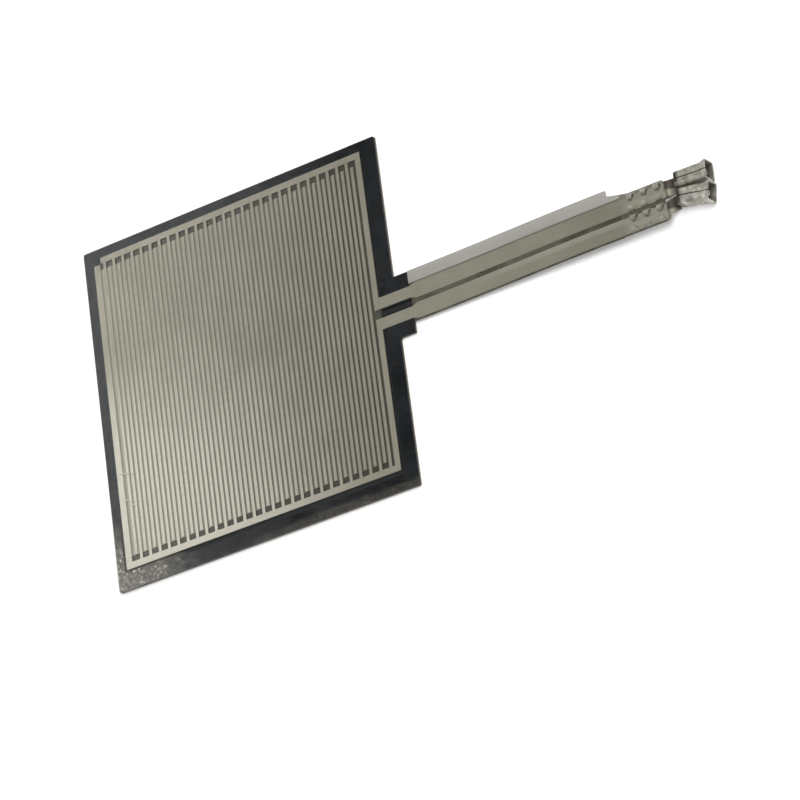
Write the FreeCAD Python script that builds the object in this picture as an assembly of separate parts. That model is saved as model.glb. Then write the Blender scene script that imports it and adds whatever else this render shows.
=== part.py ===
import FreeCAD, Part
import math
import os

from FreeCAD import Placement, Rotation, Vector

# Square membrane force sensor lying flat, face up.
# Millimetres. Origin at the middle of the panel on its rear face, +X along the tail, +Z out of the face.

# Panel and the tab at the root of the tail
panel_side = 43.69
panel_corner_radius = 0.25
tab_length = 2.15
tab_width = 7.62
tab_corner_radius = 0.2
tab_root_radius = 0.3

# Layers, from the rear upwards; film_gap is the room between the two films
liner_thickness = 0.10
rear_adhesive_thickness = 0.05
base_film_thickness = 0.13
film_gap = 0.15
face_film_thickness = 0.13
carbon_thickness = 0.02
silver_thickness = 0.02
coating_thickness = 0.02

# Spacer frame between the films, with an air vent out through the tab
spacer_frame_width = 1.9
vent_width = 0.6

# Silver electrodes: clear margins to the panel's edges, then the widths of the printed lines
silver_margin_left = 1.4
silver_margin_right = 2.25
silver_margin_top = 1.2
silver_margin_bottom = 2.5
bus_width = 0.8
side_bus_width = 0.75
end_line_width = 0.9
end_line_drop = 0.85
finger_width = 0.42
finger_gap = 0.28
finger_tip_gap = 0.75
first_gap = 0.51
last_gap = 0.37
bus_overhang = 0.35

# Tail film and the two traces on it
contact_pitch = 2.54
trace_width = 1.95
tab_trace_width = 1.4
trace_flare = 0.8
trace_edge_margin = 0.25
trace_end_margin = 0.2
tail_margin_length = 30.0
tail_step_radius = 0.3
tail_step_drop = 0.76
tail_taper = 2.7
tail_corner_radius = 0.2
crimp_distance = 32.2
film_end_inset = 0.2
tail_bend_start = 1.5
tail_bend_end = 2.5
tail_bend_facets = 10
coating_start_gap = 0.1
coating_end_gap = 0.6

# Crimped contacts, stamped from one sheet
contact_sheet = 0.20
crimp_length = 5.4
crimp_width = 2.1
tine_rows = 3
tine_length = 0.95
tine_tip_length = 0.45
tine_radius = 0.40
slot_clearance = 0.05
neck_length = 1.5
neck_lap = 0.3
box_length = 4.25
box_height = 1.9
box_root_width = 1.85
box_waist_width = 2.0
box_mouth_width = 2.4
box_mouth_length = 0.8
box_mouth_lift = 0.12
box_corner_radius = 0.35
seam_width = 0.12
spring_thickness = 0.15
spring_width = 0.6
spring_start = 0.5
spring_crest = 2.3
spring_end = 3.75
spring_end_height = 0.5
post_gap = 0.5

# The contacts are bent a little out of line: sideways step of the neck, turn of the box in degrees, and the
# neck's two edges where it leaves the crimp, from the contact's middle
upper_neck_step = 0.45
upper_box_turn = -2.0
upper_neck_edges = (-1.1, 1.0)
lower_neck_step = 1.0
lower_box_turn = -10.0
lower_neck_edges = (-0.4, 1.2)

# Heights of the layer faces
half_side = panel_side / 2
liner_top = liner_thickness
rear_adhesive_top = liner_top + rear_adhesive_thickness
base_film_top = rear_adhesive_top + base_film_thickness
carbon_top = base_film_top + carbon_thickness
face_film_bottom = base_film_top + film_gap
face_film_top = face_film_bottom + face_film_thickness

# Places along the tail
tab_end = half_side + tab_length
tail_step = half_side + tail_margin_length
crimp_start = half_side + crimp_distance
crimp_end = crimp_start + crimp_length
film_end = crimp_end - film_end_inset
box_start = crimp_end + neck_length
flare_end = tab_end + trace_flare
taper_end = tail_step + tail_taper
bend_start = tab_end + tail_bend_start
bend_end = crimp_start - tail_bend_end

# The crimp's floor sits at half the height of the box, and the tail rises to it
crimp_floor_top = (box_height + contact_sheet) / 2
tail_rise = crimp_floor_top + silver_thickness - face_film_bottom
tail_film_top = face_film_top + tail_rise

# Places across the tail
contact_offset = contact_pitch / 2
trace_inner = contact_offset - trace_width / 2
trace_outer = contact_offset + trace_width / 2
tab_trace_inner = contact_offset - tab_trace_width / 2
tab_trace_outer = contact_offset + tab_trace_width / 2
tail_lower_edge = -(trace_outer + trace_edge_margin)
tail_end_upper_edge = trace_outer + trace_edge_margin

# Edges of the electrode field
field_left = -half_side + silver_margin_left
field_right = half_side - silver_margin_right
field_top = half_side - silver_margin_top
field_bottom = -half_side + silver_margin_bottom
top_bus_edge = field_top - bus_width
bottom_bus_edge = field_bottom + bus_width
side_bus_edge = field_right - side_bus_width
finger_start = field_left + end_line_width + first_gap
finger_room = side_bus_edge - last_gap - finger_start
finger_pairs = round((finger_room + finger_gap) / (2 * (finger_width + finger_gap)))
finger_step = (finger_room - finger_width) / (2 * finger_pairs - 1)

# Height range that reaches past every layer, for cutting out plan shapes
below_all = -1.0
above_all = box_height + tail_film_top


def corner(before, point, after, radius):
    """Tangent points and middle of the arc that rounds a corner of an outline."""
    here = Vector(point[0], point[1], 0)
    back = (Vector(before[0], before[1], 0) - here).normalize()
    ahead = (Vector(after[0], after[1], 0) - here).normalize()
    half_angle = back.getAngle(ahead) / 2
    reach = radius / math.tan(half_angle)
    to_centre = (back + ahead).normalize()
    middle = here + to_centre * (radius / math.sin(half_angle) - radius)
    return here + back * reach, middle, here + ahead * reach


def outline_face(points):
    """Flat face at z = 0 from (x, y) or (x, y, radius) points in order round the outline."""
    edges = []
    count = len(points)
    stops = []
    for i, point in enumerate(points):
        radius = point[2] if len(point) > 2 else 0
        if radius > 0:
            stops.append(corner(points[i - 1], point, points[(i + 1) % count], radius))
        else:
            stops.append((Vector(point[0], point[1], 0),))
    for i, stop in enumerate(stops):
        if len(stop) == 3:
            edges.append(Part.Arc(*stop).toShape())
        edges.append(Part.makeLine(stop[-1], stops[(i + 1) % count][0]))
    return Part.Face(Part.Wire(edges))


def prism(points, low, high):
    """Upright solid over an outline, from height low to height high."""
    face = outline_face(points)
    face.translate(Vector(0, 0, low))
    return face.extrude(Vector(0, 0, high - low))


def rectangle(x0, x1, y0, y1):
    """Corner points of a rectangle, for an outline."""
    return [(x0, y0), (x1, y0), (x1, y1), (x0, y1)]


def block(x0, x1, y0, y1, z0, z1):
    """Box between two corners."""
    return Part.makeBox(x1 - x0, y1 - y0, z1 - z0, Vector(x0, y0, z0))


def film_line(height):
    """Points along the tail of a line that lies flat, rises on a smooth S and ends level."""
    points = [(-half_side - 1, height)]
    for i in range(tail_bend_facets + 1):
        s = i / tail_bend_facets
        lift = tail_rise * s * s * (3 - 2 * s)
        points.append((bend_start + (bend_end - bend_start) * s, height + lift))
    points.append((film_end + 1, height + tail_rise))
    return points


def film_layer(low, high, plan):
    """Sheet between two heights that follows the film's line, cut to a plan outline."""
    line = film_line(low) + film_line(high)[::-1]
    corners = [Vector(x, -panel_side, z) for x, z in line]
    profile = Part.Face(Part.makePolygon(corners + corners[:1]))
    sheet = profile.extrude(Vector(0, 2 * panel_side, 0))
    return sheet.common(prism(plan, below_all, above_all))


def panel_outline():
    """Outline of the panel with its tab, shared by every layer under the face film."""
    r = panel_corner_radius
    tab = tab_width / 2
    return [
        (-half_side, -half_side, r),
        (half_side, -half_side, r),
        (half_side, -tab, tab_root_radius),
        (tab_end, -tab, tab_corner_radius),
        (tab_end, tab, tab_corner_radius),
        (half_side, tab, tab_root_radius),
        (half_side, half_side, r),
        (-half_side, half_side, r),
    ]


def face_film_outline():
    """Panel, tab and tail in one piece; the clear margin above the upper trace ends in a step and a taper."""
    r = panel_corner_radius
    tab = tab_width / 2
    return [
        (-half_side, -half_side, r),
        (half_side, -half_side, r),
        (half_side, -tab, tab_root_radius),
        (tab_end, -tab, tab_corner_radius),
        (tab_end, tail_lower_edge),
        (film_end, tail_lower_edge, tail_corner_radius),
        (film_end, tail_end_upper_edge, tail_corner_radius),
        (taper_end, tail_end_upper_edge),
        (tail_step, tab - tail_step_drop, tail_step_radius),
        (tail_step, tab, tail_corner_radius),
        (half_side, tab, tab_root_radius),
        (half_side, half_side, r),
        (-half_side, half_side, r),
    ]


def upper_electrode_outline():
    """Comb with its bus along the top, joined down the right side to the upper trace, slimmer on the tab."""
    tip = bottom_bus_edge + finger_tip_gap
    trace_end = film_end - trace_end_margin
    points = [
        (side_bus_edge, tab_trace_inner),
        (tab_end, tab_trace_inner),
        (flare_end, trace_inner),
        (trace_end, trace_inner),
        (trace_end, trace_outer),
        (flare_end, trace_outer),
        (tab_end, tab_trace_outer),
        (field_right, tab_trace_outer),
        (field_right, field_top),
        (finger_start - bus_overhang, field_top),
        (finger_start - bus_overhang, top_bus_edge),
    ]
    for pair in range(finger_pairs):
        left = finger_start + 2 * pair * finger_step
        right = left + finger_width
        points += [(left, top_bus_edge), (left, tip), (right, tip), (right, top_bus_edge)]
    points.append((side_bus_edge, top_bus_edge))
    return points


def lower_electrode_outline():
    """Comb with its bus along the bottom, an end line on the left and the lower trace on the right."""
    tip = top_bus_edge - finger_tip_gap
    trace_end = film_end - trace_end_margin
    line_top = field_top - end_line_drop
    points = [
        (trace_end, -trace_inner),
        (flare_end, -trace_inner),
        (tab_end, -tab_trace_inner),
        (side_bus_edge, -tab_trace_inner),
        (side_bus_edge, bottom_bus_edge),
    ]
    for pair in reversed(range(finger_pairs)):
        left = finger_start + (2 * pair + 1) * finger_step
        right = left + finger_width
        points += [(right, bottom_bus_edge), (right, tip), (left, tip), (left, bottom_bus_edge)]
    points += [
        (field_left + end_line_width, bottom_bus_edge),
        (field_left + end_line_width, line_top),
        (field_left, line_top),
        (field_left, field_bottom),
        (field_right, field_bottom),
        (field_right, -tab_trace_outer),
        (tab_end, -tab_trace_outer),
        (flare_end, -trace_outer),
        (trace_end, -trace_outer),
    ]
    return points


def tine_places():
    """Lower end, along X, of each row of tines."""
    row_pitch = crimp_length / tine_rows
    first = crimp_start + (row_pitch - tine_length) / 2
    return [first + row * row_pitch for row in range(tine_rows)]


def tine_slots():
    """Slits through the film and its silver that the tines' legs pierce."""
    slots = []
    leg_edge = crimp_width / 2
    for centre in (contact_offset, -contact_offset):
        for x in tine_places():
            for side in (1, -1):
                edges = sorted((side * (leg_edge + slot_clearance),
                                side * (leg_edge - contact_sheet - slot_clearance)))
                slots.append(block(x - slot_clearance, x + tine_length + slot_clearance,
                                   centre + edges[0], centre + edges[1], below_all, above_all))
    return slots


def tine(x, centre, side):
    """One tine: a leg up from the crimp floor's edge, through the film and curled over onto it."""
    leg = centre + side * crimp_width / 2
    inner_leg = leg - side * contact_sheet
    axis = leg - side * tine_radius
    tip = leg - side * 2 * tine_radius
    inner_tip = tip + side * contact_sheet
    foot = crimp_floor_top - contact_sheet
    top = tail_film_top

    def at(y, z):
        return Vector(x, y, z)

    edges = [
        Part.makeLine(at(leg, foot), at(leg, top)),
        Part.Arc(at(leg, top), at(axis, top + tine_radius), at(tip, top)).toShape(),
        Part.makeLine(at(tip, top), at(inner_tip, top)),
        Part.Arc(at(inner_tip, top), at(axis, top + tine_radius - contact_sheet),
                 at(inner_leg, top)).toShape(),
        Part.makeLine(at(inner_leg, top), at(inner_leg, foot)),
        Part.makeLine(at(inner_leg, foot), at(leg, foot)),
    ]
    hook = Part.Face(Part.Wire(edges)).extrude(Vector(tine_length, 0, 0))
    inset = (tine_length - tine_tip_length) / 2
    taper = [
        (x, leg),
        (x + tine_length, leg),
        (x + tine_length, inner_leg),
        (x + tine_length - inset, tip),
        (x + inset, tip),
        (x, inner_leg),
    ]
    return hook.common(prism(taper, below_all, above_all))


def tube_section(u, width, height, wall):
    """Rounded rectangle standing across the contact, drawn in by wall on every side."""
    w = width / 2 - wall
    low = wall
    high = height - wall
    r = box_corner_radius - wall
    s = r * (1 - math.sqrt(0.5))

    def at(y, z):
        return Vector(u, y, z)

    edges = [
        Part.makeLine(at(-w + r, low), at(w - r, low)),
        Part.Arc(at(w - r, low), at(w - s, low + s), at(w, low + r)).toShape(),
        Part.makeLine(at(w, low + r), at(w, high - r)),
        Part.Arc(at(w, high - r), at(w - s, high - s), at(w - r, high)).toShape(),
        Part.makeLine(at(w - r, high), at(-w + r, high)),
        Part.Arc(at(-w + r, high), at(-w + s, high - s), at(-w, high - r)).toShape(),
        Part.makeLine(at(-w, high - r), at(-w, low + r)),
        Part.Arc(at(-w, low + r), at(-w + s, low + s), at(-w + r, low)).toShape(),
    ]
    return Part.Wire(edges)


def tube(wall):
    """Solid body of the receptacle box, narrow at the root and belled at the mouth."""
    lip = 2 * wall
    sections = [
        tube_section(0, box_root_width, box_height, wall),
        tube_section(box_length - box_mouth_length, box_waist_width, box_height, wall),
        tube_section(box_length, box_mouth_width, box_height + box_mouth_lift, wall),
    ]
    solid = Part.makeLoft(sections, True, True)
    if wall == 0:
        return solid
    root = Part.Face(sections[0]).extrude(Vector(-lip, 0, 0))
    mouth = Part.Face(sections[2]).extrude(Vector(lip, 0, 0))
    return solid.fuse([root, mouth])


def spring():
    """Leaf lanced from the box's floor that presses a post up against the roof."""
    crest = box_height - contact_sheet - post_gap
    root = contact_sheet / 2
    line = [(spring_start, root), (spring_crest, crest), (spring_end, spring_end_height)]
    thick = [(u, z - spring_thickness) for u, z in line]
    thick[0] = (spring_start + spring_thickness, root)
    corners = [Vector(u, -spring_width / 2, z) for u, z in line + thick[::-1]]
    return Part.Face(Part.makePolygon(corners + corners[:1])).extrude(Vector(0, spring_width, 0))


def receptacle(turn, root_y):
    """Seamed box with its spring, turned about the middle of its root and set on the neck."""
    seam = block(-1, box_length + 1, -seam_width / 2, seam_width / 2,
                 box_height - 2 * contact_sheet, above_all)
    shell = tube(0).cut([tube(contact_sheet), seam])
    body = shell.fuse(spring())
    body.Placement = Placement(Vector(box_start, root_y, 0), Rotation(Vector(0, 0, 1), turn))
    return body


def neck(centre, step, turn, edges):
    """Strip that steps down and sideways from the crimp floor to the box's floor and ends at its width."""
    low = crimp_floor_top - contact_sheet
    line = [(crimp_end - neck_lap, low), (crimp_end, low), (box_start, 0), (box_start + neck_lap, 0)]
    upper = [(x, z + contact_sheet) for x, z in line]
    corners = [Vector(x, -panel_side, z) for x, z in line + upper[::-1]]
    profile = Part.Face(Part.makePolygon(corners + corners[:1]))
    strip = profile.extrude(Vector(0, 2 * panel_side, 0))
    low_edge, high_edge = edges
    root = box_root_width / 2
    drift = neck_lap * math.tan(math.radians(turn))
    plan = [
        (crimp_end - neck_lap, centre + low_edge),
        (crimp_end, centre + low_edge),
        (box_start, centre + step - root),
        (box_start + neck_lap, centre + step + drift - root),
        (box_start + neck_lap, centre + step + drift + root),
        (box_start, centre + step + root),
        (crimp_end, centre + high_edge),
        (crimp_end - neck_lap, centre + high_edge),
    ]
    return strip.common(prism(plan, below_all, above_all))


def contact(centre, step, turn, neck_edges):
    """One stamped contact: crimp floor, rows of tines, neck and receptacle box."""
    floor = block(crimp_start, crimp_end, centre - crimp_width / 2, centre + crimp_width / 2,
                  crimp_floor_top - contact_sheet, crimp_floor_top)
    tines = [tine(x, centre, side) for x in tine_places() for side in (1, -1)]
    pieces = tines + [neck(centre, step, turn, neck_edges), receptacle(turn, centre + step)]
    return floor.fuse(pieces).removeSplitter()


def layers():
    """Every film, print and adhesive of the laminate, by name."""
    panel = panel_outline()
    slots = tine_slots()
    silver_bottom = face_film_bottom - silver_thickness
    upper = film_layer(silver_bottom, face_film_bottom, upper_electrode_outline()).cut(slots)
    lower = film_layer(silver_bottom, face_film_bottom, lower_electrode_outline()).cut(slots)
    opening = half_side - spacer_frame_width
    window = block(-opening, opening, -opening, opening, below_all, above_all)
    vent = block(0, tab_end + 1, -vent_width / 2, vent_width / 2, below_all, above_all)
    coating_plan = rectangle(tab_end + coating_start_gap, crimp_start - coating_end_gap,
                             tail_lower_edge, tail_end_upper_edge)
    coating = film_layer(silver_bottom - coating_thickness, face_film_bottom, coating_plan)
    return {
        "release_liner": prism(panel, 0, liner_top),
        "rear_adhesive": prism(panel, liner_top, rear_adhesive_top),
        "base_film": prism(panel, rear_adhesive_top, base_film_top),
        "carbon_print": prism(panel, base_film_top, carbon_top),
        "spacer_adhesive": prism(panel, carbon_top, face_film_bottom).cut([window, vent, upper, lower]),
        "upper_electrode": upper,
        "lower_electrode": lower,
        "tail_coating": coating.cut([upper, lower]),
        "face_film": film_layer(face_film_bottom, face_film_top, face_film_outline()).cut(slots),
    }


def main():
    os.makedirs("parts", exist_ok=True)
    shapes = layers()
    shapes["upper_contact"] = contact(contact_offset, upper_neck_step, upper_box_turn, upper_neck_edges)
    shapes["lower_contact"] = contact(-contact_offset, lower_neck_step, lower_box_turn, lower_neck_edges)
    for name, shape in shapes.items():
        solids = shape.Solids
        for solid in solids:
            if not solid.isValid():
                print("not valid:", name)
        whole = solids[0] if len(solids) == 1 else Part.makeCompound(solids)
        whole.exportStep("parts/" + name + ".step")
        box = whole.BoundBox
        print(name, len(solids), "solid, volume", round(whole.Volume, 3),
              "x", round(box.XMin, 2), round(box.XMax, 2),
              "y", round(box.YMin, 2), round(box.YMax, 2),
              "z", round(box.ZMin, 3), round(box.ZMax, 3))


main()
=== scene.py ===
import math

import bmesh
import bpy
import numpy as np
from mathutils import Matrix, Vector


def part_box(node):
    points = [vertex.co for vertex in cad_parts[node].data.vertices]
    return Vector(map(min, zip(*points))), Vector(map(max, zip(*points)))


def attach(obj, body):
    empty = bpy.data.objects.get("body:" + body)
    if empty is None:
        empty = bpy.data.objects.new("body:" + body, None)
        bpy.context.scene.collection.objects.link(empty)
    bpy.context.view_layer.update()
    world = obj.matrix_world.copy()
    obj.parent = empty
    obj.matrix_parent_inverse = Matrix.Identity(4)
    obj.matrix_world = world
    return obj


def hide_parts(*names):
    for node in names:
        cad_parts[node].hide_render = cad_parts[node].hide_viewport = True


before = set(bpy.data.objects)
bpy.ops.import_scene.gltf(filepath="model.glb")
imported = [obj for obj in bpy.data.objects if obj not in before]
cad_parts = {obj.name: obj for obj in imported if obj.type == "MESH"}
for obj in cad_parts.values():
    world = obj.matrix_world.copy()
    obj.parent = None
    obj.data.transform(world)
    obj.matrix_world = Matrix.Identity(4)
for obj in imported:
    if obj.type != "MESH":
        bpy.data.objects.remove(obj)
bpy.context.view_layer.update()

# Lengths are in metres; mm turns sizes named in millimetres into them.
mm = 0.001

# Heights and places read from the frame
PANEL_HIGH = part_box("base_film")[1]
HALF_SIDE = PANEL_HIGH.y
TAB_END = PANEL_HIGH.x
FILM_LOW, FILM_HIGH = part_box("face_film")
FIELD_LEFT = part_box("lower_electrode")[0].x
FIELD_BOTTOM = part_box("lower_electrode")[0].y
FIELD_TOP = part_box("upper_electrode")[1].y
COATING_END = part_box("tail_coating")[1].x
CRIMP_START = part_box("upper_contact")[0].x

# Sizes that the frame doesn't give by itself. The field is what the two combs cover, and the room at the
# finger ends is nearly free of the painted sheen. An ease is how far a tone's edge fades.
FIELD_RIGHT = 19.595 * mm
FIELD_EASE = 0.05 * mm
FINGER_END_ROOM = 1.55 * mm
FILM_THICKNESS = 0.13 * mm
TRACE_OUTER = 2.245 * mm
TRACE_INNER = 0.295 * mm
TRACE_EASE = 0.03 * mm
# Where a painted highlight runs along the lower trace's inner edge on the tail: its edges across, and its
# start and end along
HIGHLIGHT_EDGES = (-0.80 * mm, -0.30 * mm)
HIGHLIGHT_START = 26 * mm
HIGHLIGHT_END = 46 * mm
TAIL_BEND_START = TAB_END + 1.5 * mm
TAIL_BEND_END = CRIMP_START - 2.5 * mm
TAIL_RISE = FILM_HIGH.z - FILM_LOW.z - FILM_THICKNESS
LAYER_GAP = 0.004 * mm
COAT_TOP_GAP = 6 * LAYER_GAP

# The stamped contacts
SHEET = 0.20 * mm
CONTACT_OFFSET = 1.27 * mm
CRIMP_LENGTH = 5.4 * mm
CRIMP_WIDTH = 2.1 * mm
CRIMP_CORNER = 0.25 * mm
NECK_LENGTH = 1.5 * mm
BOX_LENGTH = 4.25 * mm
BOX_HEIGHT = 1.9 * mm
CRIMP_LEVEL = BOX_HEIGHT / 2
BOX_ROOT_WIDTH = 1.85 * mm
BOX_WAIST_WIDTH = 2.0 * mm
BOX_MOUTH_WIDTH = 2.4 * mm
MOUTH_LENGTH = 0.8 * mm
MOUTH_LIFT = 0.12 * mm
MOUTH_SHADE = (BOX_LENGTH - 1.6 * mm, BOX_LENGTH - 0.9 * mm)
NECK_START = CRIMP_START + CRIMP_LENGTH
BOX_START = NECK_START + NECK_LENGTH
FOLD_LENGTH = 0.45 * mm
FOLD_RADIUS = 0.25 * mm
SEAM_WIDTH = 0.12 * mm
TINE_ROWS = 3
TINE_LENGTH = 0.95 * mm
TINE_TIP_LENGTH = 0.45 * mm
TINE_RADIUS = 0.40 * mm
TINE_CURLS = (148, 162)
TINE_SHIFT = 0.06 * mm
SPRING_WIDTH = 0.6 * mm
SPRING_START = 0.5 * mm
SPRING_CREST = 2.3 * mm
SPRING_END = 3.75 * mm
SPRING_CREST_HEIGHT = 1.1 * mm
SPRING_END_HEIGHT = 0.45 * mm
SHEET_BEVEL = 0.035 * mm
BEVEL_ANGLE = 50

# How each contact is bent: sideways step of its neck, turn of its box in degrees, the neck's two edges, the
# seed of its tines' curls, and where across its neck painted shade falls
UPPER_STEP = 0.45 * mm
UPPER_TURN = -2.0
UPPER_NECK_EDGES = (-1.1 * mm, 1.0 * mm)
UPPER_SEED = 3
UPPER_NECK_SHADE = (1.45 * mm, 2.9 * mm)
LOWER_STEP = 1.0 * mm
LOWER_TURN = -10.0
LOWER_NECK_EDGES = (-0.4 * mm, 1.2 * mm)
LOWER_SEED = 8
LOWER_NECK_SHADE = (-0.95 * mm, 0.25 * mm)

# Where painted sheen brightens the silver and where the film has wear: the middle of each patch and its
# reach, through every layer
LOWER_LEFT = (-HALF_SIDE, -HALF_SIDE, 0)
EVERY_LAYER = 50 * mm
SHEEN_REACH = (40 * mm, 32 * mm, EVERY_LAYER)
CORNER_WEAR_REACH = (12 * mm, 9.0 * mm, EVERY_LAYER)
EDGE_WEAR_MIDDLE = (13 * mm, -HALF_SIDE, 0)
EDGE_WEAR_REACH = (22 * mm, 1.3 * mm, EVERY_LAYER)

# Short scratches on the face film: place and half length in millimetres, and turn in degrees
SHORT_MARKS = ((-19.2, -10.9, 1.7, -19), (-19.0, -7.6, 1.5, -17), (-18.6, -11.6, 0.9, -21))
MARK_HALF_WIDTH = 0.11 * mm

# The floor, in metres: flat as far as its radius, then curving out and up
FLOOR_GAP = 0.02 * mm
FLOOR_RINGS = (0.02, 0.3, 0.8)
FLOOR_RADIUS = 1.2
FLOOR_CURVE = 0.5
FLOOR_RISE = 0.85
FLOOR_SHADE = 0.90
FLOOR_GLOW = 0.30

# The light: each lamp's name, place, target, size and power, and the strength of the air
LAMPS = (("key_softbox", (-0.163, 0.080, 0.130), (-0.033, 0.026, 0.0), 0.120, 0.115),
         ("fill_softbox", (0.30, 0.10, 0.60), (0.02, 0.0, 0.0), 0.5, 3.9))
AIR_STRENGTH = 0.13

# The camera, in degrees and millimetres from the panel's middle
CAMERA_TARGET = Vector((20.4, -10.9, 0.0)) * mm
CAMERA_DISTANCE = 525.5 * mm
CAMERA_AZIMUTH = -54.56
CAMERA_ELEVATION = 51.8
CAMERA_ROLL = 68.4
CAMERA_LENS = 206.7


# Node helpers

def node(tree, kind, settings=None, **sockets):
    """Adds a shader node, sets its properties and sets or links its sockets by name."""
    made = tree.nodes.new("ShaderNode" + kind)
    for name, value in (settings or {}).items():
        setattr(made, name, value)
    for name, value in sockets.items():
        plug(tree, made, name.replace("_", " "), value)
    return made


def plug(tree, made, name, value):
    """Links an output to a named socket, or sets the socket's own value."""
    socket = made.inputs[int(name) if name.isdigit() else name]
    if isinstance(value, bpy.types.NodeSocket):
        tree.links.new(value, socket)
    else:
        socket.default_value = value


def arithmetic(tree, operation, *values, clamp=False):
    """Output of a Math node over numbers or outputs."""
    made = tree.nodes.new("ShaderNodeMath")
    made.operation = operation
    made.use_clamp = clamp
    for i, value in enumerate(values):
        plug(tree, made, str(i), value)
    return made.outputs[0]


def remap(tree, value, low, high, to_low=0.0, to_high=1.0, smooth=True):
    """Output that goes from to_low to to_high as value goes from low to high."""
    made = node(tree, "MapRange", {"interpolation_type": "SMOOTHSTEP" if smooth else "LINEAR"})
    for i, number in enumerate((value, low, high, to_low, to_high)):
        plug(tree, made, str(i), number)
    return made.outputs[0]


def blend_number(tree, factor, first, second):
    """Number that is first where factor is 0 and second where it is 1."""
    made = node(tree, "Mix", {"data_type": "FLOAT"})
    for i, value in ((0, factor), (2, first), (3, second)):
        plug(tree, made, str(i), value)
    return made.outputs[0]


def blend_colour(tree, factor, first, second):
    """Colour that is first where factor is 0 and second where it is 1."""
    made = node(tree, "Mix", {"data_type": "RGBA"})
    for i, value in ((0, factor), (6, first), (7, second)):
        plug(tree, made, str(i), value)
    return made.outputs[2]


def new_group(name, inputs, outputs):
    """Empty shader group with named inputs, each a name, kind and value, and number outputs.
    Gives its tree and its in and out nodes."""
    tree = bpy.data.node_groups.new(name, "ShaderNodeTree")
    for label, kind, value in inputs:
        socket = tree.interface.new_socket(name=label, in_out="INPUT", socket_type="NodeSocket" + kind)
        socket.default_value = value
    for label in outputs:
        tree.interface.new_socket(name=label, in_out="OUTPUT", socket_type="NodeSocketFloat")
    return tree, tree.nodes.new("NodeGroupInput"), tree.nodes.new("NodeGroupOutput")


def grain_group():
    """Fine speckle and broad mottle of a printed or coated surface."""
    tree, given, out = new_group(
        "surface_grain",
        [("Vector", "Vector", (0, 0, 0)), ("Speckle", "Float", 9000.0), ("Mottle", "Float", 180.0)],
        ["Speckle", "Mottle"],
    )
    fine = node(tree, "TexNoise", Vector=given.outputs["Vector"], Scale=given.outputs["Speckle"],
                Detail=3.0, Roughness=0.65)
    broad = node(tree, "TexNoise", Vector=given.outputs["Vector"], Scale=given.outputs["Mottle"],
                 Detail=5.0, Roughness=0.6)
    plug(tree, out, "Speckle", remap(tree, fine.outputs["Fac"], 0.3, 0.7))
    plug(tree, out, "Mottle", remap(tree, broad.outputs["Fac"], 0.32, 0.68))
    return tree


def scratches_group():
    """Sparse hair scratches in four directions: noise drawn out along each, kept only at its peaks."""
    tree, given, out = new_group(
        "hair_scratches",
        [("Vector", "Vector", (0, 0, 0)), ("Rarity", "Float", 0.66)],
        ["Mask"],
    )
    total = None
    for angle, along, across in ((14, 260, 9000), (63, 180, 12000), (112, 340, 8000), (156, 220, 15000)):
        turned = node(tree, "Mapping", Vector=given.outputs["Vector"],
                      Rotation=(0, 0, math.radians(angle)), Scale=(along, across, along))
        lines = node(tree, "TexNoise", Vector=turned.outputs[0], Scale=1.0, Detail=2.0, Roughness=0.5)
        above = arithmetic(tree, "SUBTRACT", lines.outputs["Fac"], given.outputs["Rarity"])
        peak = arithmetic(tree, "MULTIPLY", above, 14.0, clamp=True)
        total = peak if total is None else arithmetic(tree, "MAXIMUM", total, peak)
    plug(tree, out, "Mask", total)
    return tree


def patch_group():
    """Ragged patch: 1 at its centre, fading to 0 at its reach on each axis, broken up by noise."""
    tree, given, out = new_group(
        "ragged_patch",
        [("Vector", "Vector", (0, 0, 0)), ("Centre", "Vector", (0, 0, 0)),
         ("Reach", "Vector", (1, 1, 1)), ("Break Up", "Float", 0.5), ("Scale", "Float", 500.0)],
        ["Mask"],
    )
    apart = node(tree, "VectorMath", {"operation": "SUBTRACT"})
    plug(tree, apart, "0", given.outputs["Vector"])
    plug(tree, apart, "1", given.outputs["Centre"])
    share = node(tree, "VectorMath", {"operation": "DIVIDE"})
    plug(tree, share, "0", apart.outputs[0])
    plug(tree, share, "1", given.outputs["Reach"])
    length = node(tree, "VectorMath", {"operation": "LENGTH"})
    plug(tree, length, "0", share.outputs[0])
    noise = node(tree, "TexNoise", Vector=given.outputs["Vector"], Scale=given.outputs["Scale"],
                 Detail=6.0, Roughness=0.7)
    ragged = arithmetic(tree, "MULTIPLY", arithmetic(tree, "SUBTRACT", noise.outputs["Fac"], 0.5),
                        given.outputs["Break Up"])
    near = arithmetic(tree, "ADD", arithmetic(tree, "SUBTRACT", 1.0, length.outputs["Value"]), ragged)
    plug(tree, out, "Mask", remap(tree, near, 0.0, 0.6))
    return tree


def band(tree, value, low, high, ease):
    """Output that is 1 where value lies between low and high, easing to 0 over ease on both sides."""
    rise = remap(tree, value, low - ease, low)
    fall = remap(tree, value, high + ease, high)
    return arithmetic(tree, "MULTIPLY", rise, fall)


def axes_of(tree, place):
    """X, Y and Z outputs of a place."""
    split = node(tree, "SeparateXYZ", Vector=place)
    return split.outputs["X"], split.outputs["Y"], split.outputs["Z"]


GRAIN = grain_group()
SCRATCHES = scratches_group()
PATCH = patch_group()


def placed(tree, group, **sockets):
    """One use of a shader group, with its own values."""
    made = tree.nodes.new("ShaderNodeGroup")
    made.node_tree = group
    for name, value in sockets.items():
        plug(tree, made, name.replace("_", " "), value)
    return made


def new_material(name, **constants):
    """Principled material with its constant values on the shader's own sockets.
    Gives the material, its tree, its shader and the place on the object."""
    material = bpy.data.materials.new(name)
    material.use_nodes = True
    tree = material.node_tree
    shader = tree.nodes["Principled BSDF"]
    for label, value in constants.items():
        shader.inputs[label.replace("_", " ")].default_value = value
    place = tree.nodes.new("ShaderNodeTexCoord").outputs["Object"]
    return material, tree, shader, place


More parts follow.
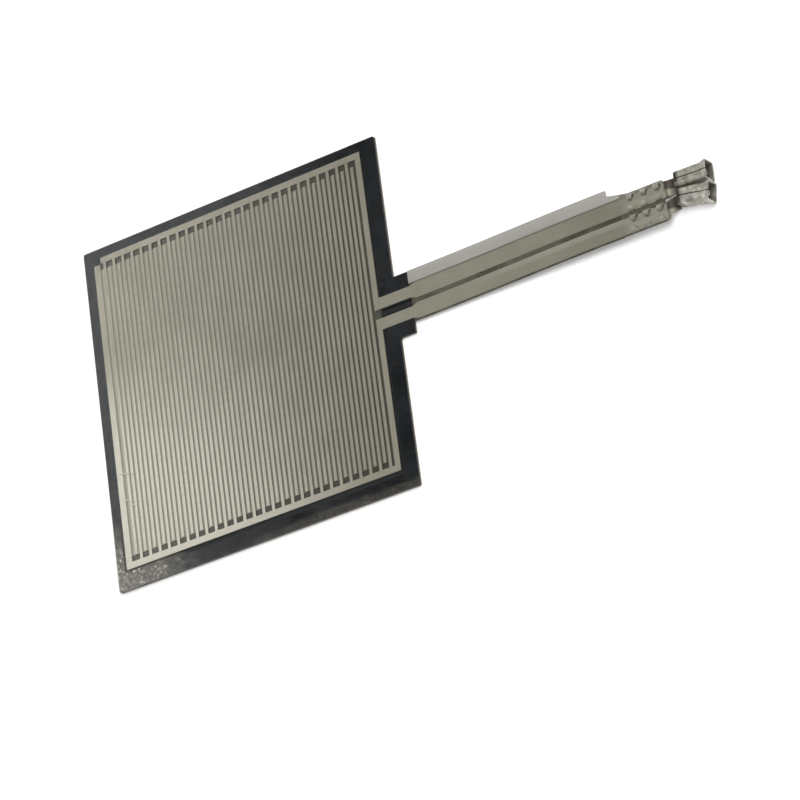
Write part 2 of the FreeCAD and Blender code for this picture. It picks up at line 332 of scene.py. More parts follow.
def raise_surface(tree, shader, height, distance, strength=1.0):
    """Bump from a height that is worth distance metres at 1."""
    bump = node(tree, "Bump", Height=height, Distance=distance, Strength=strength)
    plug(tree, shader, "Normal", bump.outputs[0])


def printed_silver():
    """Screen-printed silver: warm grey, satin and mottled, with painted sheen towards the panel's lower left
    corner, brighter where the crimps press it, and a painted highlight along the lower trace's inner edge."""
    material, tree, shader, place = new_material(
        "printed_silver", Metallic=0.55, Coat_Weight=0.35, Coat_Roughness=0.16, Specular_IOR_Level=0.4)
    grain = placed(tree, GRAIN, Vector=place, Speckle=11000.0, Mottle=130.0)
    x, y = axes_of(tree, place)[:2]
    # Painted sheen: the silver is lightened towards the panel's lower left corner.
    painted_sheen = placed(tree, PATCH, Vector=place, Centre=LOWER_LEFT, Reach=SHEEN_REACH,
                    Break_Up=0.2, Scale=120.0)
    plain = blend_colour(tree, grain.outputs["Mottle"],
                         (0.286, 0.275, 0.213, 1), (0.330, 0.318, 0.250, 1))
    bright = blend_colour(tree, painted_sheen.outputs["Mask"], plain, (0.60, 0.585, 0.49, 1))
    # Painted highlight: a bright band along the lower trace's inner edge, growing towards the crimps.
    edge_highlight = arithmetic(tree, "MULTIPLY", band(tree, y, *HIGHLIGHT_EDGES, 0.25 * mm),
                        remap(tree, x, HIGHLIGHT_START, HIGHLIGHT_END, 0, 0.55))
    edge_lit = blend_colour(tree, edge_highlight, bright, (0.46, 0.445, 0.37, 1))
    pressed = blend_colour(tree, remap(tree, x, CRIMP_START - 1 * mm, CRIMP_START + 1 * mm, 0, 0.6),
                           edge_lit, (0.50, 0.482, 0.395, 1))
    speckled = blend_colour(tree, arithmetic(tree, "MULTIPLY", grain.outputs["Speckle"], 0.25),
                            pressed, (0.22, 0.21, 0.165, 1))
    plug(tree, shader, "Base Color", speckled)
    plug(tree, shader, "Roughness", remap(tree, grain.outputs["Speckle"], 0, 1, 0.36, 0.52))
    raise_surface(tree, shader, grain.outputs["Speckle"], 0.004 * mm, 0.5)
    return material


def force_sensing_ink():
    """Black carbon print. Between the fingers a painted sheen of the face film lightens it with warm grey,
    most of all on the left. It is dark olive at the finger ends, and as black as the bonded border round the
    field."""
    material, tree, shader, place = new_material(
        "force_sensing_ink", Coat_Roughness=0.12, Specular_IOR_Level=0.3)
    grain = placed(tree, GRAIN, Vector=place, Speckle=14000.0, Mottle=240.0)
    x, y = axes_of(tree, place)[:2]
    inside = arithmetic(tree, "MULTIPLY", band(tree, x, FIELD_LEFT, FIELD_RIGHT, FIELD_EASE),
                        band(tree, y, FIELD_BOTTOM, FIELD_TOP, FIELD_EASE))
    between = arithmetic(tree, "MULTIPLY", inside, band(tree, y, FIELD_BOTTOM + FINGER_END_ROOM,
                                                        FIELD_TOP - FINGER_END_ROOM, FIELD_EASE))
    # Painted sheen: warm grey glare of the face film over the ink between the fingers, strongest on the
    # left.
    leftwards = remap(tree, x, FIELD_RIGHT, FIELD_LEFT, 0.05, 1.0, smooth=False)
    mixed = arithmetic(tree, "MULTIPLY", grain.outputs["Speckle"], grain.outputs["Mottle"])
    ink = blend_colour(tree, mixed, (0.034, 0.033, 0.025, 1), (0.064, 0.062, 0.047, 1))
    glare_share = arithmetic(tree, "MULTIPLY", arithmetic(tree, "MAXIMUM", between, 0.12), leftwards)
    glared_ink = blend_colour(tree, glare_share, ink, (0.39, 0.37, 0.302, 1))
    plug(tree, shader, "Base Color", blend_colour(tree, inside, (0.006, 0.007, 0.009, 1), glared_ink))
    plug(tree, shader, "Coat Weight", arithmetic(tree, "MULTIPLY", inside, 0.25))
    plug(tree, shader, "Roughness", remap(tree, grain.outputs["Speckle"], 0, 1, 0.40, 0.55))
    raise_surface(tree, shader, grain.outputs["Speckle"], 0.005 * mm, 0.5)
    return material


def bonded_border():
    """Clear adhesive wetted onto the black print: deep blue black and glossy."""
    material, tree, shader, place = new_material("bonded_border", Specular_IOR_Level=0.33)
    grain = placed(tree, GRAIN, Vector=place, Speckle=5000.0, Mottle=150.0)
    plug(tree, shader, "Base Color",
         blend_colour(tree, grain.outputs["Mottle"], (0.0025, 0.004, 0.0055, 1), (0.005, 0.0075, 0.010, 1)))
    plug(tree, shader, "Roughness", remap(tree, grain.outputs["Mottle"], 0, 1, 0.17, 0.26))
    raise_surface(tree, shader, grain.outputs["Mottle"], 0.02 * mm, 0.25)
    return material


def short_marks(tree, place):
    """Mask of the short scratches near the panel's left edge, each a thin turned ragged patch."""
    total = None
    for x, y, reach, angle in SHORT_MARKS:
        turned = node(tree, "Mapping", {"vector_type": "TEXTURE"}, Vector=place,
                      Location=(x * mm, y * mm, 0), Rotation=(0, 0, math.radians(angle)))
        mark = placed(tree, PATCH, Vector=turned.outputs[0],
                      Reach=(reach * mm, MARK_HALF_WIDTH, EVERY_LAYER),
                      Break_Up=0.9, Scale=1500.0).outputs["Mask"]
        total = mark if total is None else arithmetic(tree, "MAXIMUM", total, mark)
    return total


def clear_film():
    """Glossy clear film: unseen where it is bonded, hazy grey where it is bare on the tail, and rubbed dull
    and scratched along the panel's lower edge, most of all at the left corner, where painted glints fleck
    it. Past the coat's end painted shade tints it dark between and beside the traces."""
    material, tree, shader, place = new_material("clear_film", Coat_Weight=0.5, Coat_Roughness=0.08)
    grain = placed(tree, GRAIN, Vector=place, Speckle=6000.0, Mottle=160.0)
    scratches = placed(tree, SCRATCHES, Vector=place, Rarity=0.66)
    corner = placed(tree, PATCH, Vector=place, Centre=LOWER_LEFT, Reach=CORNER_WEAR_REACH,
                    Break_Up=0.9, Scale=900.0)
    edge = placed(tree, PATCH, Vector=place, Centre=EDGE_WEAR_MIDDLE, Reach=EDGE_WEAR_REACH,
                  Break_Up=0.9, Scale=900.0)
    flecks = node(tree, "TexNoise", Vector=place, Scale=2400.0, Detail=4.0, Roughness=0.7)
    fleck = remap(tree, flecks.outputs["Fac"], 0.36, 0.62)
    # Painted glints: bright specks in the worn corner, which raise its cover and lighten its tint.
    glint = arithmetic(tree, "MULTIPLY", corner.outputs["Mask"],
                       remap(tree, flecks.outputs["Fac"], 0.60, 0.68))
    x, y = axes_of(tree, place)[:2]
    off_silver = arithmetic(tree, "MAXIMUM",
                            remap(tree, y, FIELD_BOTTOM - 0.1 * mm, FIELD_BOTTOM - 0.5 * mm),
                            remap(tree, x, FIELD_LEFT - 0.1 * mm, FIELD_LEFT - 0.4 * mm))
    rubbed_and_glints = arithmetic(tree, "MAXIMUM", arithmetic(tree, "MULTIPLY", corner.outputs["Mask"], 0.28),
                        arithmetic(tree, "MULTIPLY", edge.outputs["Mask"], 0.08))
    rubbed_and_glints = arithmetic(tree, "MULTIPLY", rubbed_and_glints, arithmetic(tree, "MULTIPLY_ADD", fleck, 0.55, 0.72))
    rubbed_and_glints = arithmetic(tree, "MULTIPLY", arithmetic(tree, "MULTIPLY_ADD", glint, 0.5, rubbed_and_glints),
                        arithmetic(tree, "MULTIPLY_ADD", off_silver, 0.95, 0.05))
    scored = arithmetic(tree, "MULTIPLY", scratches.outputs["Mask"],
                        arithmetic(tree, "MULTIPLY_ADD", rubbed_and_glints, 1.5, 0.06))
    marks = short_marks(tree, place)
    wear_and_painted_light = arithmetic(tree, "ADD", arithmetic(tree, "MULTIPLY_ADD", marks, 0.3, rubbed_and_glints), scored,
                      clamp=True)
    upper_margin = arithmetic(tree, "MULTIPLY",
                              remap(tree, x, TAB_END - FIELD_EASE, TAB_END + FIELD_EASE),
                              remap(tree, y, TRACE_OUTER - TRACE_EASE, TRACE_OUTER + TRACE_EASE))
    aside = arithmetic(tree, "ABSOLUTE", y)
    off_trace = arithmetic(tree, "MAXIMUM",
                           remap(tree, aside, TRACE_INNER + TRACE_EASE, TRACE_INNER - TRACE_EASE),
                           remap(tree, aside, TRACE_OUTER - TRACE_EASE, TRACE_OUTER + TRACE_EASE))
    end_margin = arithmetic(tree, "MULTIPLY",
                            remap(tree, x, COATING_END, COATING_END + 0.1 * mm), off_trace)
    bare = arithmetic(tree, "MAXIMUM", upper_margin, end_margin)
    haze = arithmetic(tree, "MULTIPLY_ADD", end_margin, 0.1,
                      remap(tree, grain.outputs["Mottle"], 0, 1, 0.74, 0.82))
    dust = blend_colour(tree, fleck, (0.23, 0.212, 0.168, 1), (0.42, 0.395, 0.328, 1))
    tint = blend_colour(tree, arithmetic(tree, "MAXIMUM", glint, marks), dust, (0.85, 0.84, 0.78, 1))
    # Painted shade: past the coat's end the bare film is tinted dark, darkest between the traces and beside
    # the lower one.
    end_painted_shade = blend_colour(tree, remap(tree, y, TRACE_INNER, TRACE_OUTER),
                            (0.105, 0.100, 0.073, 1), (0.23, 0.222, 0.18, 1))
    margins = blend_colour(tree, end_margin, (0.46, 0.445, 0.405, 1), end_painted_shade)
    plug(tree, shader, "Base Color", blend_colour(tree, bare, tint, margins))
    plug(tree, shader, "Alpha", blend_number(tree, bare, wear_and_painted_light, haze))
    plug(tree, shader, "Roughness", remap(tree, grain.outputs["Mottle"], 0, 1, 0.14, 0.26))
    raise_surface(tree, shader, grain.outputs["Mottle"], 0.03 * mm, 0.2)
    return material


def insulating_coat():
    """Olive insulating coat under the traces, seen as a dark line between them; that dark line is painted
    shade.
    """
    material, tree, shader, place = new_material("insulating_coat", Coat_Weight=0.3, Coat_Roughness=0.15)
    grain = placed(tree, GRAIN, Vector=place, Speckle=8000.0, Mottle=300.0)
    plug(tree, shader, "Base Color",
         blend_colour(tree, grain.outputs["Mottle"], (0.060, 0.056, 0.034, 1), (0.105, 0.098, 0.066, 1)))
    plug(tree, shader, "Alpha", remap(tree, grain.outputs["Speckle"], 0, 1, 0.88, 0.96))
    plug(tree, shader, "Roughness", remap(tree, grain.outputs["Mottle"], 0, 1, 0.25, 0.40))
    return material


def dark_film():
    """Base film, dark because the black print lies on it."""
    material, tree, shader, place = new_material("dark_film", Coat_Weight=0.2, Coat_Roughness=0.15)
    grain = placed(tree, GRAIN, Vector=place, Speckle=7000.0, Mottle=400.0)
    plug(tree, shader, "Base Color",
         blend_colour(tree, grain.outputs["Mottle"], (0.018, 0.019, 0.022, 1), (0.034, 0.035, 0.038, 1)))
    plug(tree, shader, "Roughness", remap(tree, grain.outputs["Speckle"], 0, 1, 0.22, 0.40))
    return material


def tacky_adhesive():
    """Rear adhesive: yellowish, dull at its cut edge, with picked-up dust."""
    material, tree, shader, place = new_material("tacky_adhesive", Specular_IOR_Level=0.4)
    grain = placed(tree, GRAIN, Vector=place, Speckle=9000.0, Mottle=700.0)
    plug(tree, shader, "Base Color",
         blend_colour(tree, grain.outputs["Speckle"], (0.16, 0.13, 0.09, 1), (0.30, 0.26, 0.20, 1)))
    plug(tree, shader, "Roughness", remap(tree, grain.outputs["Mottle"], 0, 1, 0.35, 0.60))
    return material


def kraft_liner():
    """Tan release paper with drawn-out fibres and faint calendering lines."""
    material, tree, shader, place = new_material("kraft_liner", Specular_IOR_Level=0.35)
    grain = placed(tree, GRAIN, Vector=place, Speckle=4000.0, Mottle=120.0)
    turned = node(tree, "Mapping", Vector=place, Rotation=(0, 0, 0.2), Scale=(500, 6000, 500))
    fibres = node(tree, "TexNoise", Vector=turned.outputs[0], Scale=1.0, Detail=4.0, Roughness=0.6)
    fibre = remap(tree, fibres.outputs["Fac"], 0.35, 0.65)
    paper = blend_colour(tree, grain.outputs["Mottle"], (0.40, 0.30, 0.19, 1), (0.50, 0.39, 0.27, 1))
    plug(tree, shader, "Base Color",
         blend_colour(tree, arithmetic(tree, "MULTIPLY", fibre, 0.4), paper, (0.62, 0.52, 0.39, 1)))
    plug(tree, shader, "Roughness", remap(tree, fibre, 0, 1, 0.42, 0.60))
    raise_surface(tree, shader, fibre, 0.006 * mm, 0.6)
    return material


def box_mouth(tree, place, middle, turn):
    """Mask of the faces inside a turned box near its mouth: those within the middle of its sheet."""
    local = node(tree, "Mapping", {"vector_type": "TEXTURE"}, Vector=place,
                 Location=(BOX_START, middle, 0), Rotation=(0, 0, math.radians(turn)))
    along, across, up = axes_of(tree, local.outputs[0])
    half = remap(tree, along, BOX_LENGTH - MOUTH_LENGTH, BOX_LENGTH, (BOX_WAIST_WIDTH - SHEET) / 2,
                 (BOX_MOUTH_WIDTH - SHEET) / 2, smooth=False)
    room = arithmetic(tree, "SUBTRACT", half, arithmetic(tree, "ABSOLUTE", across))
    inner = arithmetic(tree, "MULTIPLY", remap(tree, room, 0.25 * SHEET, 0.45 * SHEET),
                       band(tree, up, 0.9 * SHEET, BOX_HEIGHT - 0.6 * SHEET, 0.1 * SHEET))
    return arithmetic(tree, "MULTIPLY", inner, remap(tree, along, *MOUTH_SHADE))


def tinned_metal():
    """Tinned stamping: satin, smeared along its length, with a dull grey tint on the crimps, faint copper
    tints, blotched boxes and shade inside their mouths. Painted shade darkens the necks and the upper
    contact."""
    material, tree, shader, place = new_material("tinned_metal", Metallic=0.5, Specular_IOR_Level=0.5)
    grain = placed(tree, GRAIN, Vector=place, Speckle=7000.0, Mottle=1300.0)
    drawn = node(tree, "Mapping", Vector=place, Scale=(700, 9000, 9000))
    lines = node(tree, "TexNoise", Vector=drawn.outputs[0], Scale=1.0, Detail=3.0, Roughness=0.6)
    line = remap(tree, lines.outputs["Fac"], 0.3, 0.7)
    tin = blend_colour(tree, grain.outputs["Mottle"], (0.38, 0.37, 0.315, 1), (0.80, 0.78, 0.70, 1))
    copper = remap(tree, arithmetic(tree, "MULTIPLY", grain.outputs["Mottle"], line),
                   0.55, 0.9, 0, 0.45)
    x, y = axes_of(tree, place)[:2]
    neck = band(tree, x, NECK_START + 0.1 * mm, BOX_START + 0.3 * mm, 0.5 * mm)
    # Painted shade: one side of each neck is darkened most.
    neck_shade_side = arithmetic(tree, "MAXIMUM", band(tree, y, *UPPER_NECK_SHADE, 0.35 * mm),
                           band(tree, y, *LOWER_NECK_SHADE, 0.35 * mm))
    neck_shade = arithmetic(tree, "MULTIPLY", arithmetic(tree, "MULTIPLY", neck, neck_shade_side),
                        remap(tree, grain.outputs["Mottle"], 0, 1, 1.0, 0.88))
    # A dull grey tint on the crimps, and painted shade that darkens the metal towards the upper contact.
    dull_and_shade = arithmetic(tree, "MAXIMUM",
                      remap(tree, x, NECK_START + 0.1 * mm, NECK_START - 0.1 * mm, 0, 0.6),
                      remap(tree, y, -0.2 * mm, 0.8 * mm, 0, 0.55))
    dulled_and_shaded = blend_colour(tree, dull_and_shade, tin, (0.31, 0.30, 0.245, 1))
    coppery = blend_colour(tree, copper, dulled_and_shaded, (0.55, 0.42, 0.34, 1))
    blotches = node(tree, "TexNoise", Vector=place, Scale=950.0, Detail=2.0, Roughness=0.55)
    blotch = remap(tree, blotches.outputs["Fac"], 0.50, 0.62, 0, 0.55)
    on_box = remap(tree, x, BOX_START, BOX_START + 1 * mm)
    stained = blend_colour(tree, arithmetic(tree, "MULTIPLY", blotch, on_box),
                           coppery, (0.185, 0.175, 0.135, 1))
    # Painted shade: the necks are darkened all over.
    shaded_necks = blend_colour(tree, arithmetic(tree, "MULTIPLY", neck, 0.9),
                         stained, (0.175, 0.168, 0.125, 1))
    wear_and_painted_light = blend_colour(tree, neck_shade, shaded_necks, (0.040, 0.031, 0.025, 1))
    mouths = arithmetic(tree, "MAXIMUM",
                        box_mouth(tree, place, CONTACT_OFFSET + UPPER_STEP, UPPER_TURN),
                        box_mouth(tree, place, LOWER_STEP - CONTACT_OFFSET, LOWER_TURN))
    plug(tree, shader, "Base Color",
         blend_colour(tree, arithmetic(tree, "MULTIPLY", mouths, 0.5), wear_and_painted_light, (0.065, 0.062, 0.050, 1)))
    plug(tree, shader, "Roughness", remap(tree, line, 0, 1, 0.36, 0.58))
    raise_surface(tree, shader, line, 0.006 * mm, 0.5)
    return material


# Pieces

def smooth(value, low, high):
    """0 below low, 1 above high, and an S between."""
    share = np.clip((value - low) / (high - low), 0, 1)
    return share * share * (3 - 2 * share)


def skin_copy(name, cad_node, low_gap, high_gap):
    """Copy of a thin film's solid, its underside raised and its top lowered a little so that no two faces
    of the stack lie in the same place: each point's height above the rising tail's line is scaled."""
    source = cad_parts[cad_node].data
    mesh = source.copy()
    mesh.name = name
    work = bmesh.new()
    work.from_mesh(mesh)
    bmesh.ops.remove_doubles(work, verts=work.verts, dist=1e-7)
    work.to_mesh(mesh)
    work.free()
    places = np.empty(len(mesh.vertices) * 3, np.float32)
    mesh.vertices.foreach_get("co", places)
    places = places.reshape(-1, 3).astype(float)
    lift = TAIL_RISE * smooth(places[:, 0], TAIL_BEND_START, TAIL_BEND_END)
    low = (places[:, 2] - lift).min()
    thick = (places[:, 2] - lift).max() - low
    share_up = (places[:, 2] - lift - low) / thick
    places[:, 2] = low + lift + low_gap + share_up * (thick - low_gap - high_gap)
    mesh.vertices.foreach_set("co", places.astype(np.float32).ravel())
    mesh.update()
    piece = bpy.data.objects.new(name, mesh)
    bpy.context.scene.collection.objects.link(piece)
    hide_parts(cad_node)
    return piece


def shell(grid, thickness):
    """Closed skin round a sheet given as a grid of points: each point moves half the thickness both ways
    along the sheet's own normal, and quads close the rim. Gives points and quads, facing outwards."""
    rows, columns = grid.shape[:2]
    normal = np.cross(np.gradient(grid, axis=0), np.gradient(grid, axis=1))
    normal /= np.linalg.norm(normal, axis=-1, keepdims=True)
    ring = np.concatenate([grid + normal * thickness / 2, (grid - normal * thickness / 2)[:, ::-1]], 1)
    index = np.arange(ring.shape[0] * ring.shape[1]).reshape(ring.shape[:2])
    ahead = np.roll(index, -1, 1)
    side = np.stack([index[:-1], index[1:], ahead[1:], ahead[:-1]], -1).reshape(-1, 4)
    back = index[:, ::-1]
    caps = [np.stack([index[row, :columns - 1], index[row, 1:columns],
                      back[row, 1:columns], back[row, :columns - 1]], -1)[:, ::turn]
            for row, turn in ((0, 1), (rows - 1, -1))]
    quads = np.concatenate([side] + caps)
    points = ring.reshape(-1, 3)
    corner = points[quads]
    middle = points.mean(0)
    facing = np.cross(corner[:, 2] - corner[:, 0], corner[:, 3] - corner[:, 1])
    inside_out = ((corner.mean(1) - middle) * facing).sum() < 0
    return points, quads[:, ::-1] if inside_out else quads


def sheet_mesh(name, grids):
    """One mesh of closed skins, one round each grid."""
    points = []
    quads = []
    start = 0
    for grid in grids:
        made_points, made_quads = shell(grid, SHEET)
        points.append(made_points)
        quads.append(made_quads + start)
        start += len(made_points)
    mesh = bpy.data.meshes.new(name)
    mesh.from_pydata(np.concatenate(points).tolist(), [], np.concatenate(quads).tolist())
    mesh.update()
    return mesh


def formed_strip(centre, step, turn, neck_edges):
    """Crimp floor, neck and seamed box as one sheet. Along it, the strip's half width goes from the
    crimp's to the neck's, and its floor steps down and sideways. Across it, each point lies flat at first
    and, past the neck, at the same share of a C section: floor, quarter turn, wall, quarter turn, and roof
    up to the seam. The box turns about its start."""
    box_start = CRIMP_LENGTH + NECK_LENGTH
    end = box_start + BOX_LENGTH
    along = np.unique(np.concatenate([
        np.linspace(0, CRIMP_CORNER, 7),
        np.linspace(CRIMP_CORNER, CRIMP_LENGTH - 0.2 * mm, 14),
        np.linspace(CRIMP_LENGTH - 0.2 * mm, box_start + FOLD_LENGTH, 46),
        np.linspace(box_start + FOLD_LENGTH, end, 40)]))[:, None]
    across = np.linspace(-1, 1, 81)[None, :]
    u = along - box_start
    nose = np.sqrt(np.clip(1 - (1 - along / CRIMP_CORNER).clip(0) ** 2, 0, 1))
    flat = CRIMP_WIDTH / 2 - CRIMP_CORNER * (1 - nose)
    to_neck = smooth(along, CRIMP_LENGTH - 0.1 * mm, CRIMP_LENGTH + 0.25 * mm)
    edge = np.abs(np.where(across < 0, neck_edges[0], neck_edges[1]))
    edge = edge + (BOX_ROOT_WIDTH / 2 - edge) * smooth(along, CRIMP_LENGTH, box_start)
    flat = flat + (edge - flat) * to_neck
    width = np.interp(u, [0, BOX_LENGTH - MOUTH_LENGTH, BOX_LENGTH],
                      [BOX_ROOT_WIDTH, BOX_WAIST_WIDTH, BOX_MOUTH_WIDTH])
    half = (width - SHEET) / 2
    height = BOX_HEIGHT - SHEET + MOUTH_LIFT * smooth(u, BOX_LENGTH - MOUTH_LENGTH, BOX_LENGTH)
    r = FOLD_RADIUS
    floor = half - r
    wall = height - 2 * r
    roof = half - r - SEAM_WIDTH / 2
    turn_length = r * math.pi / 2
    run = np.abs(across) * (floor + wall + roof + 2 * turn_length)
    first = np.clip((run - floor) / r, 0, math.pi / 2)
    second = np.clip((run - floor - turn_length - wall) / r, 0, math.pi / 2)
    y_box = (np.minimum(run, floor) + r * np.sin(first) - r * (1 - np.cos(second))
             - np.clip(run - floor - wall - 2 * turn_length, 0, None))
    z_box = (r * (1 - np.cos(first)) + np.clip(run - floor - turn_length, 0, wall)
             + r * np.sin(second))
    fold = smooth(along, box_start - FOLD_LENGTH, box_start + FOLD_LENGTH / 2)
    y = np.sign(across) * ((1 - fold) * np.abs(across) * flat + fold * y_box)
    drop = smooth(along, CRIMP_LENGTH, box_start)
    z = CRIMP_LEVEL + (SHEET / 2 - CRIMP_LEVEL) * drop + fold * z_box
    sideways = step * smooth(along, CRIMP_LENGTH, box_start)
    inward = np.clip(u, 0, None)
    swing = math.radians(turn)
    turned = swing * smooth(u, -FOLD_LENGTH, FOLD_LENGTH / 2)
    x = CRIMP_START + along - inward * (1 - math.cos(swing)) - y * np.sin(turned)
    return np.stack([x, centre + sideways + inward * math.sin(swing) + y * np.cos(turned), z + 0 * y], -1)


def tine_strip(start, centre, side, curl):
    """One tine: straight up from the crimp floor's edge, then round nearly a half circle onto the film,
    narrowing from its leg to its tip."""
    radius = TINE_RADIUS - SHEET / 2
    leg = FILM_HIGH.z - CRIMP_LEVEL
    length = leg + radius * curl
    run = np.linspace(0, length, 26)[:, None]
    across = np.linspace(-0.5, 0.5, 9)[None, :]
    angle = np.clip((run - leg) / radius, 0, None)
    curled = np.clip((run - leg) / (length - leg), 0, 1)
    width = TINE_LENGTH + (TINE_TIP_LENGTH - TINE_LENGTH) * curled
    leg_y = centre + side * (CRIMP_WIDTH - SHEET) / 2
    x = start + TINE_LENGTH / 2 + across * width
    y = leg_y - side * radius * (1 - np.cos(angle)) + 0 * across
    z = CRIMP_LEVEL + np.minimum(run, leg) + radius * np.sin(angle) + 0 * across
    return np.stack([x, y, z], -1)


def spring_strip(centre, step, turn):
    """Leaf that rises from the box's floor to its crest and dips towards the mouth."""
    u = np.linspace(SPRING_START, SPRING_END, 30)[:, None]
    across = np.linspace(-0.5, 0.5, 5)[None, :]
    up = smooth(u, SPRING_START, SPRING_CREST)
    down = smooth(u, SPRING_CREST, SPRING_END + 0.8 * mm)
    z = (SHEET / 2 + (SPRING_CREST_HEIGHT - SHEET / 2) * up
         - (SPRING_CREST_HEIGHT - SPRING_END_HEIGHT) * down)
    swing = math.radians(turn)
    x = BOX_START + u * math.cos(swing) - across * SPRING_WIDTH * math.sin(swing)
    y = centre + step + u * math.sin(swing) + across * SPRING_WIDTH * math.cos(swing)
    return np.stack([x, y, z + 0 * across], -1)


def contact_piece(name, cad_node, centre, step, turn, neck_edges, seed):
    """Stamped contact from its sheets, eased along its cut edges, with uneven tines."""
    draw = np.random.default_rng(seed)
    row_pitch = CRIMP_LENGTH / TINE_ROWS
    first = CRIMP_START + (row_pitch - TINE_LENGTH) / 2
    grids = [formed_strip(centre, step, turn, neck_edges), spring_strip(centre, step, turn)]
    for row in range(TINE_ROWS):
        for side in (1, -1):
            curl = math.radians(draw.uniform(*TINE_CURLS))
            shift = draw.uniform(-TINE_SHIFT, TINE_SHIFT)
            grids.append(tine_strip(first + row * row_pitch + shift, centre, side, curl))
    piece = bpy.data.objects.new(name, sheet_mesh(name, grids))
    bpy.context.scene.collection.objects.link(piece)
    eased = piece.modifiers.new("eased_edges", "BEVEL")
    eased.width = SHEET_BEVEL
    eased.segments = 2
    eased.limit_method = "ANGLE"
    eased.angle_limit = math.radians(BEVEL_ANGLE)
    piece.data.shade_smooth()
    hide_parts(cad_node)
    return piece


def dress(piece, material):
    """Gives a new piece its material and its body."""
    piece.data.materials.clear()
    piece.data.materials.append(material)
    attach(piece, "root")


def repaint(cad_node, material):
    """Gives a CAD node a material of its own."""
    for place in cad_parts[cad_node].material_slots:
        place.material = material


# Surroundings

def white_ground(name, shade, glow):
    """Pale floor: takes soft shadow, and is lifted to white for camera, mirror and see-through rays."""
    material, tree, shader, place = new_material(name, Roughness=0.9, Specular_IOR_Level=0.1)
    grain = placed(tree, GRAIN, Vector=place, Speckle=2000.0, Mottle=40.0)
    plug(tree, shader, "Base Color",
         blend_colour(tree, grain.outputs["Mottle"], (shade,) * 3 + (1,), (shade * 0.99,) * 3 + (1,)))
    path = tree.nodes.new("ShaderNodeLightPath")
    seen = arithmetic(tree, "MAXIMUM", path.outputs["Is Camera Ray"],
                      arithmetic(tree, "MAXIMUM", path.outputs["Is Glossy Ray"],
                                 path.outputs["Is Transmission Ray"]))
    light = node(tree, "Emission", Color=(1, 1, 1, 1),
                 Strength=arithmetic(tree, "MULTIPLY", seen, glow))
    total = tree.nodes.new("ShaderNodeAddShader")
    tree.links.new(shader.outputs[0], total.inputs[0])
    tree.links.new(light.outputs[0], total.inputs[1])
    tree.links.new(total.outputs[0], tree.nodes["Material Output"].inputs["Surface"])
    return material


def add_floor():
    """Floor that curves up into a low round wall: a profile turned about the upright axis, flat out to
    the curve, then a quarter of an ellipse."""
    angle = np.linspace(0, 2 * math.pi, 97)[:-1, None]
    share = np.linspace(0, math.pi / 2, 17)[None, :]
    flat = np.array([FLOOR_RINGS])
    radius = np.concatenate([flat, FLOOR_RADIUS + FLOOR_CURVE * np.sin(share)], 1)
    height = np.concatenate([0 * flat, FLOOR_RISE * (1 - np.cos(share))], 1) - FLOOR_GAP
    points = np.stack([radius * np.cos(angle), radius * np.sin(angle), height + 0 * angle], -1)
    index = np.arange(points.shape[0] * points.shape[1]).reshape(points.shape[:2])
    ahead = np.roll(index, -1, 0)
    quads = np.stack([index[:, :-1], index[:, 1:], ahead[:, 1:], ahead[:, :-1]], -1).reshape(-1, 4)
    mesh = bpy.data.meshes.new("floor")
    mesh.from_pydata(points.reshape(-1, 3).tolist(), [], quads.tolist() + [index[:, 0].tolist()])
    mesh.shade_smooth()
    floor = bpy.data.objects.new("floor", mesh)
    bpy.context.scene.collection.objects.link(floor)
    mesh.materials.append(white_ground("pale_floor", FLOOR_SHADE, FLOOR_GLOW))


def add_world():
    """Faint warm white air all round, which softens the shade."""
    world = bpy.data.worlds.new("studio")
    bpy.context.scene.world = world
    world.use_nodes = True
    air = world.node_tree.nodes["Background"]
    air.inputs["Color"].default_value = (1.0, 0.99, 0.97, 1)
    air.inputs["Strength"].default_value = AIR_STRENGTH


def add_lamp(name, place, target, size, power):
    """Square softbox that faces a target."""
    data = bpy.data.lights.new(name, "AREA")
    data.size = size
    data.energy = power
    lamp = bpy.data.objects.new(name, data)
    lamp.visible_camera = False
    lamp.location = place
    lamp.rotation_euler = (Vector(target) - Vector(place)).to_track_quat("-Z", "Y").to_euler()
    bpy.context.scene.collection.objects.link(lamp)


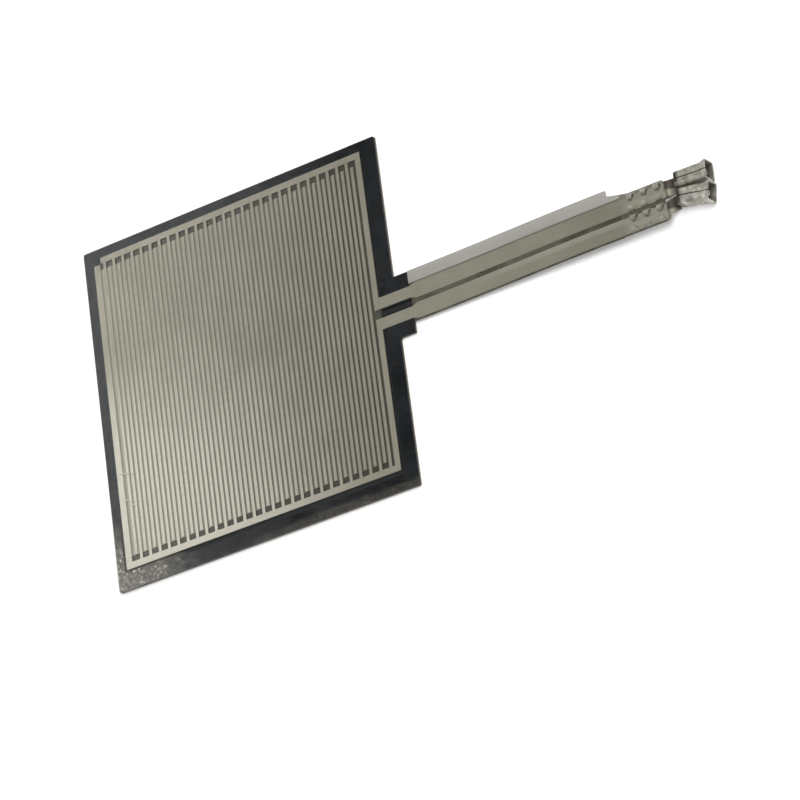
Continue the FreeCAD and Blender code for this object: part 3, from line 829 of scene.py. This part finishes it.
def add_camera():
    """Long lens that looks down on the part, turned by its azimuth and elevation and then rolled about
    its line of sight."""
    azimuth = math.radians(CAMERA_AZIMUTH)
    elevation = math.radians(CAMERA_ELEVATION)
    roll = math.radians(CAMERA_ROLL)
    look = Vector((math.sin(azimuth) * math.cos(elevation),
                   math.cos(azimuth) * math.cos(elevation),
                   -math.sin(elevation)))
    level = look.cross(Vector((0, 0, 1))).normalized()
    upright = level.cross(look)
    up = upright * math.cos(roll) + level * math.sin(roll)
    right = look.cross(up)
    data = bpy.data.cameras.new("camera")
    data.lens = CAMERA_LENS
    data.sensor_width = 36
    data.clip_start = 0.01
    data.clip_end = 20
    camera = bpy.data.objects.new("camera", data)
    turned = Matrix((right, up, -look)).transposed().to_4x4()
    camera.matrix_world = Matrix.Translation(CAMERA_TARGET - look * CAMERA_DISTANCE) @ turned
    bpy.context.scene.collection.objects.link(camera)
    bpy.context.scene.camera = camera


def build():
    """The two skins, the two contacts and the other nodes' materials."""
    film = clear_film()
    metal = tinned_metal()
    face = skin_copy("face_film_skin", "face_film", LAYER_GAP, 0.0)
    dress(face, film)
    coat = skin_copy("tail_coat_skin", "tail_coating", 0.0, COAT_TOP_GAP)
    dress(coat, insulating_coat())
    upper = contact_piece("upper_contact_metal", "upper_contact", CONTACT_OFFSET, UPPER_STEP,
                          UPPER_TURN, UPPER_NECK_EDGES, UPPER_SEED)
    lower = contact_piece("lower_contact_metal", "lower_contact", -CONTACT_OFFSET, LOWER_STEP,
                          LOWER_TURN, LOWER_NECK_EDGES, LOWER_SEED)
    dress(upper, metal)
    dress(lower, metal)
    silver = printed_silver()
    repaint("upper_electrode", silver)
    repaint("lower_electrode", silver)
    repaint("carbon_print", force_sensing_ink())
    repaint("spacer_adhesive", bonded_border())
    repaint("base_film", dark_film())
    repaint("rear_adhesive", tacky_adhesive())
    repaint("release_liner", kraft_liner())


build()
add_floor()
add_world()
for lamp_values in LAMPS:
    add_lamp(*lamp_values)
add_camera()
bpy.context.scene.view_settings.view_transform = "Standard"
